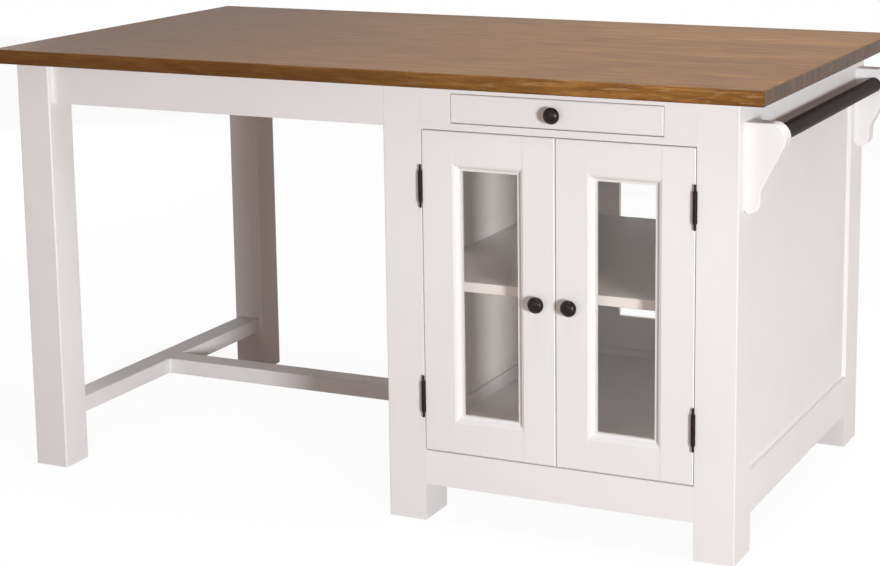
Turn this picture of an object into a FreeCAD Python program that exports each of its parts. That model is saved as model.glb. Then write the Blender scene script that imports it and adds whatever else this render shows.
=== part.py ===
"""Kitchen island: a glazed two-sided cabinet and two table legs under one fixed wooden top.

Units are millimetres. +X runs along the top towards the cabinet and its towel bar, +Y to the back, +Z up.
The origin is on the floor, in the middle of the whole outline (the top and the towel bar brackets).
The cabinet, its doors and the table end are the same at the front and the back, apart from the drawer.
"""
import FreeCAD
import Part
import math
import os

V = FreeCAD.Vector

# ---- top
overall_height = 900.0
top_length = 1680.0
top_width = 930.0
top_thickness = 30.0
top_arris = 4.0
end_overhang = 55.0          # top past the table legs and past the cabinet side
leg_overhang = 16.0          # top past the front faces of the table legs
cabinet_overhang = 32.0      # top past the cabinet front and the aprons

# ---- table end
leg_size = 78.0
leg_arris = 3.0
apron_height = 81.0
rail_thickness = 22.0        # aprons and cabinet rails
stretcher_width = 55.0
stretcher_height = 35.0
stretcher_clear = 97.0       # floor to the underside of the stretchers
stretcher_arris = 3.0
corner_block_thickness = 22.0
corner_block_height = 60.0

# ---- cabinet frame
cabinet_width = 718.0
post_width = 80.0
post_depth = 94.0
post_arris = 2.0             # on the outer corner of each post
rail_clear = 75.0            # floor to the underside of the bottom rails
front_bottom_rail_height = 70.0
side_bottom_rail_height = 84.0
front_top_rail_height = 83.0
side_top_rail_height = 81.0
panel_thickness = 6.0
panel_recess = 8.5           # side panel behind the outer face of its frame
groove_depth = 8.0
groove_play = 0.15
bottom_thickness = 18.0
bottom_below_rail = 15.0     # bottom board under the top edge of the front bottom rail
shelf_thickness = 20.0
shelf_top = 480.0
shelf_front_gap = 33.0       # shelf edge behind the closed front doors
shelf_back_gap = 93.0        # shelf edge before the closed back doors
shelf_play = 1.5
cleat_width = 18.0
cleat_height = 18.0

# ---- doors
door_gap = 2.0
door_thickness = 20.0
stile_flat = 65.0
door_rail_flat = 62.0
moulding_width = 14.0
moulding_step = 1.2
moulding_depth = 8.0
sight_lip = 2.0
rebate_width = 8.0
glass_thickness = 4.0
glass_play = 1.0
bead_seat = 0.2
front_arris = 1.5            # broken edges round the doors and the drawer front

# ---- hinges
hinge_axis_out = 5.0         # pin axis in front of the door face
hinge_end_offset = 109.0      # door end to the middle of its hinge
barrel_radius = 4.5
barrel_length = 60.0
knuckle_count = 3
knuckle_gap = 0.3
barrel_sides = 16            # flats round the barrel and its finials
pin_radius = 2.5
pin_play = 0.05
finial_height = 13.0
finial_radius = 3.0
finial_tip_radius = 2.2
leaf_thickness = 1.6
leaf_depth = 16.0
leaf_height = 58.0
leaf_play = 0.1

# ---- knobs
knob_radius = 16.0
knob_projection = 26.0
knob_rim_height = 17.0       # underside of the rim, out from the face
knob_crown_height = 6.0      # of the dome over the rim
knob_dome_rings = 3
knob_sides = 32
knob_neck_radius = 5.5
knob_neck_height = 7.0
knob_foot_radius = 9.0

# ---- drawer
drawer_front_width = 429.0
drawer_front_height = 55.0
drawer_front_thickness = 22.0
drawer_gap = 1.5
drawer_above_rail = 13.5     # top of the strip under the drawer, over the door opening
drawer_side_thickness = 12.0
drawer_side_play = 4.0       # drawer box inside the opening, each side
drawer_head_room = 6.0
drawer_box_length = 430.0
drawer_bottom_thickness = 6.0
drawer_bottom_up = 6.0
drawer_lift = 0.3            # drawer side over its runner
drawer_groove = 5.0
runner_width = 34.0
guide_width = 10.0
guide_height = 28.0
guide_play = 0.8
kicker_play = 1.0
stop_length = 20.0

# ---- towel bar
bar_radius = 16.0
bar_stand_off = 38.0         # bar axis from the cabinet side
bar_drop = 101.0             # bar axis under the top face of the top
bar_socket = 16.0
bar_play = 0.2
bracket_thickness = 38.0
bracket_reach = 76.0
bracket_top_drop = 67.0      # bracket's upper edge under the top face of the top
bracket_height = 168.0
bracket_nose_radius = 30.0
bracket_slope = 27.0         # degrees that the lower edge leans from upright
bracket_neck = 31.0
bracket_hollow_radius = 30.0
bracket_tip_radius = 22.0
bracket_heel_radius = 9.0
bracket_arris = 1.5

# ---- fastening of the top, and the door catches
batten_size = 20.0
knee_batten_length = 500.0
side_batten_length = 440.0
catch_width = 46.0
catch_depth = 14.0
catch_drop = 15.0            # below the top rail
catch_hold = 10.0            # against the back of the top rail
strike_width = 40.0
strike_height = 11.0
strike_margin = 4.0
strike_thickness = 1.5

# ---- places worked out from the sizes
bar_past_top = max(bracket_reach - end_overhang, 0.0)
top_x0 = -(top_length + bar_past_top) / 2
top_x1 = top_x0 + top_length
frame_top = overall_height - top_thickness
leg_x0 = top_x0 + end_overhang
leg_x1 = leg_x0 + leg_size
leg_y0 = leg_overhang - top_width / 2
leg_y1 = leg_y0 + leg_size
face_y = cabinet_overhang - top_width / 2
inner_y = face_y + rail_thickness
cab_x1 = top_x1 - end_overhang
cab_x0 = cab_x1 - cabinet_width
mid_x = (cab_x0 + cab_x1) / 2
post_y1 = face_y + post_depth
side_in_x = cab_x0 + rail_thickness
apron_z0 = frame_top - apron_height
open_x0 = cab_x0 + post_width
open_z0 = rail_clear + front_bottom_rail_height
open_z1 = frame_top - front_top_rail_height
bottom_z1 = open_z0 - bottom_below_rail
panel_x0 = cab_x0 + panel_recess
stretcher_z1 = stretcher_clear + stretcher_height
cross_x0 = (leg_x0 + leg_x1 - stretcher_width) / 2
cross_x1 = cross_x0 + stretcher_width

door_x0 = open_x0 + door_gap
door_x1 = mid_x - door_gap / 2
door_y1 = face_y + door_thickness
door_z0 = open_z0 + door_gap
door_z1 = open_z1 - door_gap
mould_x0 = door_x0 + stile_flat
mould_x1 = door_x1 - stile_flat
mould_z0 = door_z0 + door_rail_flat
mould_z1 = door_z1 - door_rail_flat
sight_x0 = mould_x0 + moulding_width
sight_x1 = mould_x1 - moulding_width
sight_z0 = mould_z0 + moulding_width
sight_z1 = mould_z1 - moulding_width
glass_y0 = face_y + moulding_depth + sight_lip
glass_y1 = glass_y0 + glass_thickness
hinge_x = open_x0 + door_gap / 2
hinge_y = face_y - hinge_axis_out
hinge_heights = (door_z0 + hinge_end_offset, door_z1 - hinge_end_offset)
shelf_x0 = open_x0 + shelf_play
shelf_y0 = door_y1 + shelf_front_gap
shelf_y1 = -door_y1 - shelf_back_gap
drawer_x0 = mid_x - drawer_front_width / 2
drawer_x1 = mid_x + drawer_front_width / 2
hole_x0 = drawer_x0 - drawer_gap
hole_x1 = drawer_x1 + drawer_gap
hole_z0 = open_z1 + drawer_above_rail
drawer_z0 = hole_z0 + drawer_gap
drawer_z1 = drawer_z0 + drawer_front_height
hole_z1 = drawer_z1 + drawer_gap
box_x0 = hole_x0 + drawer_side_play
box_x1 = hole_x1 - drawer_side_play
box_y0 = face_y + drawer_front_thickness
box_y1 = box_y0 + drawer_box_length
box_z0 = hole_z0 + drawer_lift
box_z1 = hole_z1 - drawer_head_room
drawer_bottom_z = box_z0 + drawer_bottom_up
bar_x = cab_x1 + bar_stand_off
bar_z = overall_height - bar_drop
bracket_y = (face_y + post_y1) / 2
bracket_in_y = bracket_y + bracket_thickness / 2
bracket_z1 = overall_height - bracket_top_drop


# ---- small helpers
def block(x0, x1, y0, y1, z0, z1):
    """Box between two corners."""
    return Part.makeBox(x1 - x0, y1 - y0, z1 - z0, V(x0, y0, z0))


def rod(radius, start, end):
    """Round bar from one point to another."""
    way = end - start
    return Part.makeCylinder(radius, way.Length, start, way)


def front_back(shape):
    return shape.mirror(V(0, 0, 0), V(0, 1, 0))


def left_right(shape):
    """Mirror about the middle of the cabinet."""
    return shape.mirror(V(mid_x, 0, 0), V(1, 0, 0))


def eased(shape, radius, direction):
    """Round the edges that run along one direction."""
    edges = []
    for edge in shape.Edges:
        way = edge.Vertexes[-1].Point - edge.Vertexes[0].Point
        if way.cross(direction).Length < 1e-6:
            edges.append(edge)
    return shape.makeFillet(radius, edges)


def front_broken(slab):
    """Take the arris off the four edges of the front face."""
    rims = [e for e in slab.Edges if all(abs(v.Y - face_y) < 0.01 for v in e.Vertexes)]
    return slab.makeChamfer(front_arris, rims)


def flat_face(points):
    return Part.Face(Part.makePolygon(points + points[:1]))


def prism(points, way):
    """Straight-sided outline pushed along one direction."""
    return flat_face(points).extrude(way)


def turned(outline, sides, place, axis):
    """Turned form with many flats, from (radius, height) points up its axis, closed at both ends."""
    rings = []
    for radius, height in outline:
        turns = [2 * math.pi * index / sides for index in range(sides)]
        rings.append([V(radius * math.cos(turn), radius * math.sin(turn), height) for turn in turns])
    faces = [flat_face(ring) for ring in (rings[0], rings[-1]) if ring[0] != ring[1]]
    for low, high in zip(rings, rings[1:]):
        for index in range(sides):
            corners = [low[index - 1], low[index], high[index], high[index - 1]]
            faces.append(flat_face([point for n, point in enumerate(corners) if point != corners[n - 1]]))
    solid = Part.Solid(Part.Shell(faces))
    solid.Placement = FreeCAD.Placement(place, FreeCAD.Rotation(V(0, 0, 1), axis))
    return solid


# ---- table end
def tabletop():
    """Plank top with its long and short edges eased, and its corners left upright."""
    top = block(top_x0, top_x1, -top_width / 2, top_width / 2, frame_top, overall_height)
    rims = [e for e in top.Edges if abs(e.Vertexes[0].Z - e.Vertexes[-1].Z) < 0.01]
    return [top.makeFillet(top_arris, rims)]


def front_leg():
    leg = block(leg_x0, leg_x1, leg_y0, leg_y1, 0, frame_top)
    return [eased(leg, leg_arris, V(0, 0, 1))]


def front_apron():
    return [block(leg_x1, cab_x0, face_y, inner_y, apron_z0, frame_top)]


def end_apron():
    x0 = leg_x0 + leg_overhang
    return [block(x0, x0 + rail_thickness, leg_y1, -leg_y1, apron_z0, frame_top)]


def corner_block():
    """Slanting block from the front apron to the end apron, against the inner corner of the front leg."""
    end_x = leg_x0 + leg_overhang + rail_thickness
    reach = leg_x1 + leg_y1
    span = corner_block_thickness * math.sqrt(2)
    z0 = frame_top - corner_block_height
    plan = [(reach - inner_y, inner_y), (reach + span - inner_y, inner_y),
            (end_x, reach + span - end_x), (end_x, reach - end_x)]
    return prism([V(x, y, z0) for x, y in plan], V(0, 0, corner_block_height))


def cross_stretcher():
    bar = block(cross_x0, cross_x1, leg_y1, -leg_y1, stretcher_clear, stretcher_z1)
    return [eased(bar, stretcher_arris, V(0, 1, 0))]


def long_stretcher():
    """From the middle of the cross stretcher to the cabinet's side rail."""
    bar = block(cross_x1 - stretcher_arris, cab_x0, -stretcher_width / 2, stretcher_width / 2,
                stretcher_clear, stretcher_z1)
    bar = eased(bar, stretcher_arris, V(1, 0, 0))
    return [bar.cut(cross_stretcher()[0])]


# ---- cabinet frame
def left_front_post():
    """Post at the front of the cabinet's left side, grooved for the panel and let in for the hinges."""
    post = block(cab_x0, open_x0, face_y, post_y1, 0, frame_top)
    corner = [e for e in post.Edges if all(abs(v.X - cab_x0) + abs(v.Y - face_y) < 0.01 for v in e.Vertexes)]
    post = post.makeFillet(post_arris, corner)
    post = post.cut(panel_space(groove_play))
    for z in hinge_heights:
        post = post.cut(leaf_pocket(z, -1))
    return post


def panel_space(play):
    """Room that the left side panel takes in the grooves round it, with play all round."""
    z0 = rail_clear + side_bottom_rail_height - groove_depth
    z1 = frame_top - side_top_rail_height + groove_depth
    y1 = -post_y1 + groove_depth
    return block(panel_x0 - play, panel_x0 + panel_thickness + play, -y1 - play, y1 + play, z0 - play, z1 + play)


def left_side_rails():
    rails = []
    for z0, z1 in ((rail_clear, rail_clear + side_bottom_rail_height),
                   (frame_top - side_top_rail_height, frame_top)):
        rail = block(cab_x0, side_in_x, post_y1, -post_y1, z0, z1)
        rails.append(rail.cut(panel_space(groove_play)))
    return rails


def left_side_panel():
    return [panel_space(0)]


def front_drawer_rail():
    """Four strips round the drawer opening: under, over, and one filler at each side."""
    x1 = 2 * mid_x - open_x0
    return [block(open_x0, x1, face_y, inner_y, open_z1, hole_z0),
            block(open_x0, x1, face_y, inner_y, hole_z1, frame_top),
            block(open_x0, hole_x0, face_y, inner_y, hole_z0, hole_z1),
            block(hole_x1, x1, face_y, inner_y, hole_z0, hole_z1)]


def front_bottom_rail():
    return [block(open_x0, 2 * mid_x - open_x0, face_y, inner_y, rail_clear, open_z0)]


def back_top_rail():
    return [block(open_x0, 2 * mid_x - open_x0, -inner_y, -face_y, open_z1, frame_top)]


def bottom_board():
    """Cabinet floor, notched round the four posts."""
    x1 = 2 * mid_x - side_in_x
    z0 = bottom_z1 - bottom_thickness
    middle = block(side_in_x, x1, post_y1, -post_y1, z0, bottom_z1)
    long_way = block(open_x0, 2 * mid_x - open_x0, inner_y, -inner_y, z0, bottom_z1)
    return [middle.fuse(long_way).removeSplitter()]


def shelf():
    """Shelf across the cabinet, notched round the front posts."""
    wide_x0 = panel_x0 + panel_thickness + shelf_play
    z0 = shelf_top - shelf_thickness
    narrow = block(shelf_x0, 2 * mid_x - shelf_x0, shelf_y0, shelf_y1, z0, shelf_top)
    wide = block(wide_x0, 2 * mid_x - wide_x0, post_y1 + shelf_play, shelf_y1, z0, shelf_top)
    board = narrow.fuse(wide).removeSplitter()
    front_edges = [e for e in board.Edges if all(abs(v.Y - shelf_y0) < 0.01 for v in e.Vertexes)
                   and abs(e.Vertexes[0].Z - e.Vertexes[-1].Z) < 0.01]
    return [board.makeFillet(1.5, front_edges)]


def cleats(z1, wall):
    """Pair of battens on the cabinet sides, between the posts, that carry a board at one height."""
    left = block(wall, wall + cleat_width, post_y1, -post_y1, z1 - cleat_height, z1)
    return [left, left_right(left)]


def top_battens():
    """Battens that hold the top, inside the frame: front, back, table end and cabinet side."""
    knee_x = (leg_x1 + cab_x0) / 2
    end_x = leg_x0 + leg_overhang + rail_thickness
    side_x = cab_x1 - rail_thickness
    half = side_batten_length / 2
    z0 = frame_top - batten_size
    front = block(knee_x - knee_batten_length / 2, knee_x + knee_batten_length / 2,
                  inner_y, inner_y + batten_size, z0, frame_top)
    return [front, front_back(front), block(end_x, end_x + batten_size, -half, half, z0, frame_top),
            block(side_x - batten_size, side_x, -half, half, z0, frame_top)]


# ---- doors: the left front one, which the others mirror
def window_trough(a0, a1, b0, b1, upright):
    """Moulded hollow between two parallel mouldings, from b0 to b1 along them."""
    half = moulding_width / 2
    middle = (moulding_step + moulding_depth) / 2
    rise = moulding_depth - moulding_step

    def point(across, depth):
        return V(across, face_y + depth, b0) if upright else V(b0, face_y + depth, across)

    def curve(edge, sign):
        """Ogee from the door's face down to the sight line."""
        top = point(edge, moulding_step)
        crown = point(edge + sign * 0.6 * half, moulding_step + 0.14 * rise)
        turn = point(edge + sign * half, middle)
        hollow = point(edge + sign * 1.4 * half, moulding_depth - 0.14 * rise)
        foot = point(edge + sign * moulding_width, moulding_depth)
        return top, foot, [Part.Arc(top, crown, turn).toShape(), Part.Arc(turn, hollow, foot).toShape()]

    top_a, foot_a, curve_a = curve(a0, 1)
    top_b, foot_b, curve_b = curve(a1, -1)
    out_a = point(a0, -1)
    out_b = point(a1, -1)
    edges = curve_a + [Part.makeLine(foot_a, foot_b)] + curve_b
    edges += [Part.makeLine(top_b, out_b), Part.makeLine(out_b, out_a), Part.makeLine(out_a, top_a)]
    wire = Part.Wire(Part.__sortEdges__(edges))
    return Part.Face(wire).extrude(V(0, 0, b1 - b0) if upright else V(b1 - b0, 0, 0))


def door_frame():
    """Two stiles and two rails with an ogee round the glass, the rails' ends coped over the stiles."""
    slab = front_broken(block(door_x0, door_x1, face_y, door_y1, door_z0, door_z1))
    hollow = window_trough(mould_x0, mould_x1, door_z0, door_z1, True)
    hollow = hollow.common(window_trough(mould_z0, mould_z1, door_x0, door_x1, False))
    slab = slab.cut(hollow)
    slab = slab.cut(block(sight_x0, sight_x1, face_y, door_y1, sight_z0, sight_z1))
    slab = slab.cut(block(sight_x0 - rebate_width, sight_x1 + rebate_width, glass_y0, door_y1,
                          sight_z0 - rebate_width, sight_z1 + rebate_width))
    for z in hinge_heights:
        slab = slab.cut(leaf_pocket(z, 1))
    lower = block(mould_x0, mould_x1, face_y, door_y1, door_z0, sight_z0)
    upper = block(mould_x0, mould_x1, face_y, door_y1, sight_z1, door_z1)
    rails = [slab.common(lower), slab.common(upper)]
    stiles = slab.cut(lower).cut(upper)
    return stiles.Solids + rails[0].Solids + rails[1].Solids


def door_glass():
    reach = rebate_width - glass_play
    return [block(sight_x0 - reach, sight_x1 + reach, glass_y0, glass_y1, sight_z0 - reach, sight_z1 + reach)]


def door_beads():
    """Square beads behind the glass: long ones up the sides, short ones between them."""
    x0 = sight_x0 - rebate_width
    x1 = sight_x1 + rebate_width
    z0 = sight_z0 - rebate_width
    z1 = sight_z1 + rebate_width
    y0 = glass_y1 + bead_seat
    return [block(x0, sight_x0, y0, door_y1, z0, z1), block(sight_x1, x1, y0, door_y1, z0, z1),
            block(sight_x0, sight_x1, y0, door_y1, z0, sight_z0),
            block(sight_x0, sight_x1, y0, door_y1, sight_z1, z1)]


def strike():
    """Thin steel plate on the back of the door that the catch holds."""
    x1 = door_x1 - strike_margin
    z1 = door_z1 - strike_margin
    return block(x1 - strike_width, x1, door_y1, door_y1 + strike_thickness, z1 - strike_height, z1)


def door_catches():
    """Magnetic catch on the back of each top rail, behind the meeting stiles, clear of the strike plates."""
    reach = stile_flat / 2 + catch_width / 2
    case = block(mid_x - reach, mid_x + reach, inner_y, inner_y + catch_depth,
                 open_z1 - catch_drop, open_z1 + catch_hold)
    return [case, front_back(case)]


# ---- hinges: left front door
def leaf_pocket(z, side):
    """Shallow recess for a hinge leaf: side 1 in the door's edge, -1 in the post."""
    deep = leaf_thickness + 2 * leaf_play
    half = leaf_height / 2 + leaf_play
    x0, x1 = (hinge_x, hinge_x + deep) if side > 0 else (hinge_x - deep, hinge_x)
    return block(x0, x1, face_y - 1, face_y + leaf_depth + leaf_play, z - half, z + half)


def barrel(outline):
    """Length of a hinge barrel, from (radius, height) points on the hinge's axis."""
    return turned(outline, barrel_sides, V(hinge_x, hinge_y, 0), V(0, 0, 1))


def hinge_leaf(z, side):
    """Leaf with its knuckles: side 1 turns with the door, -1 stays on the post with the pin and its finials."""
    x0, x1 = (leaf_play, leaf_play + leaf_thickness) if side > 0 else (-leaf_play - leaf_thickness, -leaf_play)
    clear = barrel_radius + knuckle_gap
    plate = block(hinge_x + x0, hinge_x + x1, hinge_y + clear, face_y + leaf_depth,
                  z - leaf_height / 2, z + leaf_height / 2)
    step = barrel_length / knuckle_count
    for index in range(knuckle_count):
        if (index % 2 == 0) != (side < 0):
            continue
        z0 = z - barrel_length / 2 + index * step + (knuckle_gap / 2 if index else 0)
        z1 = z - barrel_length / 2 + (index + 1) * step - (knuckle_gap / 2 if index < knuckle_count - 1 else 0)
        tab_z0 = max(z0, z - leaf_height / 2)
        tab_z1 = min(z1, z + leaf_height / 2)
        tab = block(hinge_x + x0, hinge_x + x1, hinge_y, hinge_y + clear, tab_z0, tab_z1)
        plate = plate.fuse([barrel([(barrel_radius, z0), (barrel_radius, z1)]), tab])
    low = z - barrel_length / 2
    high = z + barrel_length / 2
    start = V(hinge_x, hinge_y, low)
    end = V(hinge_x, hinge_y, high)
    if side > 0:
        return plate.cut(rod(pin_radius + pin_play, start, end)).removeSplitter()
    finials = [barrel([(finial_tip_radius, low - finial_height), (finial_radius, low)]),
               barrel([(finial_radius, high), (finial_tip_radius, high + finial_height)])]
    return plate.fuse([rod(pin_radius, start, end)] + finials).removeSplitter()


# ---- knobs
def knob(place):
    """Mushroom knob that stands out towards the front from a face: flared foot, neck, rim and dome."""
    out = knob_projection
    dome = (knob_radius ** 2 + knob_crown_height ** 2) / (2 * knob_crown_height)
    widest = math.asin(knob_radius / dome)
    outline = [(knob_foot_radius, 0), (knob_neck_radius, knob_neck_height), (knob_radius, knob_rim_height)]
    for step in range(knob_dome_rings):
        lean = widest * (1 - step / knob_dome_rings)
        outline.append((dome * math.sin(lean), out - dome * (1 - math.cos(lean))))
    return [turned(outline + [(0, out)], knob_sides, place, V(0, -1, 0))]


def door_knob_place():
    return V(door_x1 - stile_flat / 2, face_y, (door_z0 + door_z1) / 2)


def drawer_knob_place():
    return V(mid_x, face_y, (drawer_z0 + drawer_z1) / 2)


# ---- drawer
def drawer_bottom_room(play):
    """Drawer bottom in its grooves in the sides and ends of the box."""
    reach = drawer_side_thickness - drawer_groove
    return block(box_x0 + reach - play, box_x1 - reach + play, box_y0 + reach - play, box_y1 - reach + play,
                 drawer_bottom_z - play, drawer_bottom_z + drawer_bottom_thickness + play)


def drawer_front():
    return [front_broken(block(drawer_x0, drawer_x1, face_y, box_y0, drawer_z0, drawer_z1))]


def drawer_sides():
    side = block(box_x0, box_x0 + drawer_side_thickness, box_y0, box_y1, box_z0, box_z1)
    side = side.cut(drawer_bottom_room(groove_play))
    return [side, left_right(side)]


def drawer_ends():
    """Front and back of the drawer box, between its sides."""
    x0 = box_x0 + drawer_side_thickness
    x1 = box_x1 - drawer_side_thickness
    front = block(x0, x1, box_y0, box_y0 + drawer_side_thickness, box_z0, box_z1)
    back = block(x0, x1, box_y1 - drawer_side_thickness, box_y1, box_z0, box_z1)
    return [front.cut(drawer_bottom_room(groove_play)), back.cut(drawer_bottom_room(groove_play))]


def drawer_runners():
    """Under each drawer side a runner, beside it a guide and over it a kicker, and a stop behind it."""
    parts = []
    guide_x1 = box_x0 - guide_play
    runner_x0 = guide_x1 - guide_width
    parts.append(block(runner_x0, runner_x0 + runner_width, inner_y, -inner_y, open_z1, hole_z0))
    parts.append(block(runner_x0, guide_x1, inner_y, -inner_y, hole_z0, hole_z0 + guide_height))
    parts.append(block(runner_x0, runner_x0 + runner_width, inner_y, -inner_y, box_z1 + kicker_play, frame_top))
    parts.append(block(box_x0, box_x0 + drawer_side_thickness, box_y1 + drawer_lift,
                       box_y1 + drawer_lift + stop_length, hole_z0, hole_z0 + guide_height))
    return parts + [left_right(part) for part in parts]


# ---- towel bar
def front_bracket():
    """Scrolled bracket: round nose, straight slant, hollow neck and round tip, bored for the bar."""
    x0 = cab_x1
    z1 = bracket_z1
    nose_x = x0 + bracket_reach - bracket_nose_radius
    nose_z = z1 - bracket_nose_radius
    lean = math.radians(bracket_slope)
    slant = V(-math.sin(lean), 0, -math.cos(lean))

    def on_circle(x, z, radius, degrees):
        angle = math.radians(degrees)
        return V(x + radius * math.cos(angle), bracket_y, z + radius * math.sin(angle))

    nose = [on_circle(nose_x, nose_z, bracket_nose_radius, a) for a in (90, 32, -bracket_slope)]
    neck_x = x0 + bracket_neck
    hollow_end_gap = bracket_hollow_radius * (1 - math.cos(lean))
    slant_length = (nose[2].x - neck_x - hollow_end_gap) / math.sin(lean)
    slant_end = nose[2] + slant * slant_length
    hollow_x = neck_x + bracket_hollow_radius
    hollow_z = slant_end.z - bracket_hollow_radius * math.sin(lean)
    hollow = [on_circle(hollow_x, hollow_z, bracket_hollow_radius, a)
              for a in (180 - bracket_slope, 180 - bracket_slope / 2, 180)]
    z0 = z1 - bracket_height
    tip_x = neck_x - bracket_tip_radius
    tip_z = z0 + bracket_tip_radius
    tip = [on_circle(tip_x, tip_z, bracket_tip_radius, a) for a in (0, -45, -90)]
    heel_z = z0 + bracket_heel_radius
    heel = [on_circle(x0 + bracket_heel_radius, heel_z, bracket_heel_radius, a) for a in (-90, -135, -180)]
    top_back = V(x0, bracket_y, z1)
    stops = [nose, hollow, tip, heel]
    edges = [Part.makeLine(top_back, nose[0])]
    for index, points in enumerate(stops):
        edges.append(Part.Arc(*points).toShape())
        following = stops[index + 1][0] if index + 1 < len(stops) else top_back
        if (following - points[2]).Length > 1e-6:
            edges.append(Part.makeLine(points[2], following))
    face = Part.Face(Part.Wire(edges))
    solid = face.extrude(V(0, bracket_thickness, 0))
    solid.translate(V(0, -bracket_thickness / 2, 0))
    rims = [e for e in solid.Edges if all(abs(abs(v.Y - bracket_y) - bracket_thickness / 2) < 0.01
                                          for v in e.Vertexes)
            and abs(e.Vertexes[0].Y - e.Vertexes[-1].Y) < 0.01
            and e.CenterOfMass.x > x0 + 1]
    solid = solid.makeChamfer(bracket_arris, rims)
    return solid.cut(rod(bar_radius + bar_play, V(bar_x, bracket_in_y - bar_socket, bar_z),
                         V(bar_x, bracket_in_y + 1, bar_z)))


def towel_bar():
    end = -bracket_in_y + bar_socket - bar_play
    return [rod(bar_radius, V(bar_x, -end, bar_z), V(bar_x, end, bar_z))]


# ---- pieces by name
def both(shape):
    """A piece at the front and its mirror image at the back."""
    return [shape, front_back(shape)]


def door_pieces():
    """Named pieces of the left front door."""
    leaves = [hinge_leaf(z, 1) for z in hinge_heights]
    return {"frame": door_frame(), "glass": door_glass(), "beads": door_beads(),
            "knob": knob(door_knob_place()), "hardware": leaves + [strike()]}


def post_hinges():
    """The half of every hinge that stays on the posts, for the four doors."""
    left = [hinge_leaf(z, -1) for z in hinge_heights]
    front = left + [left_right(piece) for piece in left]
    return front + [front_back(piece) for piece in front]


def all_pieces():
    post = left_front_post()
    right_post = left_right(post)
    rails = left_side_rails()
    block_in_corner = corner_block()
    leg = front_leg()[0]
    apron = front_apron()[0]
    pieces = {
        "tabletop": tabletop(),
        "front_left_leg": [leg], "back_left_leg": [front_back(leg)],
        "front_apron": [apron], "back_apron": [front_back(apron)], "left_end_apron": end_apron(),
        "cross_stretcher": cross_stretcher(), "long_stretcher": long_stretcher(),
        "corner_blocks": both(block_in_corner),
        "front_left_post": [post], "back_left_post": [front_back(post)],
        "front_right_post": [right_post], "back_right_post": [front_back(right_post)],
        "left_side_rails": rails, "right_side_rails": [left_right(rail) for rail in rails],
        "left_side_panel": left_side_panel(), "right_side_panel": [left_right(left_side_panel()[0])],
        "front_drawer_rail": front_drawer_rail(), "front_bottom_rail": front_bottom_rail(),
        "back_top_rail": back_top_rail(), "back_bottom_rail": [front_back(front_bottom_rail()[0])],
        "bottom_board": bottom_board(), "shelf": shelf(),
        "shelf_cleats": cleats(shelf_top - shelf_thickness, panel_x0 + panel_thickness),
        "bottom_cleats": cleats(bottom_z1 - bottom_thickness, side_in_x),
        "drawer_runners": drawer_runners(),
        "top_battens": top_battens(),
        "towel_brackets": both(front_bracket()),
        "towel_bar": towel_bar(), "post_hinges": post_hinges(), "door_catches": door_catches(),
        "drawer_front": drawer_front(), "drawer_sides": drawer_sides(), "drawer_ends": drawer_ends(),
        "drawer_bottom": [drawer_bottom_room(0)], "drawer_knob": knob(drawer_knob_place()),
    }
    for part_name, solids in door_pieces().items():
        right = [left_right(solid) for solid in solids]
        pieces["front_left_door_" + part_name] = solids
        pieces["front_right_door_" + part_name] = right
        pieces["back_left_door_" + part_name] = [front_back(solid) for solid in solids]
        pieces["back_right_door_" + part_name] = [front_back(solid) for solid in right]
    return pieces


os.makedirs("parts", exist_ok=True)
for name, solids in all_pieces().items():
    shape = solids[0] if len(solids) == 1 else Part.makeCompound(solids)
    shape.exportStep(os.path.join("parts", name + ".step"))
print("hinge axis", hinge_x, 2 * mid_x - hinge_x, hinge_y, "length", 2 * abs(top_x0))
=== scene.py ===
"""Looks of the kitchen island: stained plank top, brushed white paint, glazed doors, dark bronze fittings."""
import math

import bmesh
import bpy
from mathutils import Matrix, Vector


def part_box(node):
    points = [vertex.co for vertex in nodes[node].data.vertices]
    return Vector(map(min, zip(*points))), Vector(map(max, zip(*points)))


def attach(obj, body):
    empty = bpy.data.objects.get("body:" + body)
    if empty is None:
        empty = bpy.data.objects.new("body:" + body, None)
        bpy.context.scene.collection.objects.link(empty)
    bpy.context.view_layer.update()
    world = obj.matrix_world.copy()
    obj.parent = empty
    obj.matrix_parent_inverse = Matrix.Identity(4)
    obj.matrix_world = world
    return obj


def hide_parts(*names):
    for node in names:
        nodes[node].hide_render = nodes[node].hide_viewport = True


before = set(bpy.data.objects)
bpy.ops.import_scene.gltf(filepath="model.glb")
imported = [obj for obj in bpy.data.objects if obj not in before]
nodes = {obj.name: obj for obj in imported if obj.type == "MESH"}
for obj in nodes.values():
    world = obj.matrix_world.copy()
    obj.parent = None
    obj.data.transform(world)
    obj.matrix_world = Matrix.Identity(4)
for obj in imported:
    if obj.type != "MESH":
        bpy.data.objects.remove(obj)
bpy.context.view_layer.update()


# ---------------------------------------------------------------- node helpers
def put(tree, kind, sockets=None, **settings):
    """Add a node, set its options, and fill its sockets with values or wires."""
    made = tree.nodes.new(kind)
    for name, value in settings.items():
        setattr(made, name, value)
    for name, value in (sockets or {}).items():
        if isinstance(value, bpy.types.NodeSocket):
            tree.links.new(value, made.inputs[name])
        else:
            made.inputs[name].default_value = value
    return made


def math_of(tree, operation, *values, clamp=False):
    return put(tree, "ShaderNodeMath", dict(enumerate(values)), operation=operation, use_clamp=clamp).outputs[0]


def span_of(tree, value, low, high, out_low=0.0, out_high=1.0):
    """Stretch the part of a value between two levels to a new span."""
    sockets = {"Value": value, "From Min": low, "From Max": high, "To Min": out_low, "To Max": out_high}
    return put(tree, "ShaderNodeMapRange", sockets, clamp=True).outputs["Result"]


# sockets of the mix node when it mixes colours
MIX_FACTOR, MIX_FIRST, MIX_SECOND, MIX_RESULT = 0, 6, 7, 2


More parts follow.
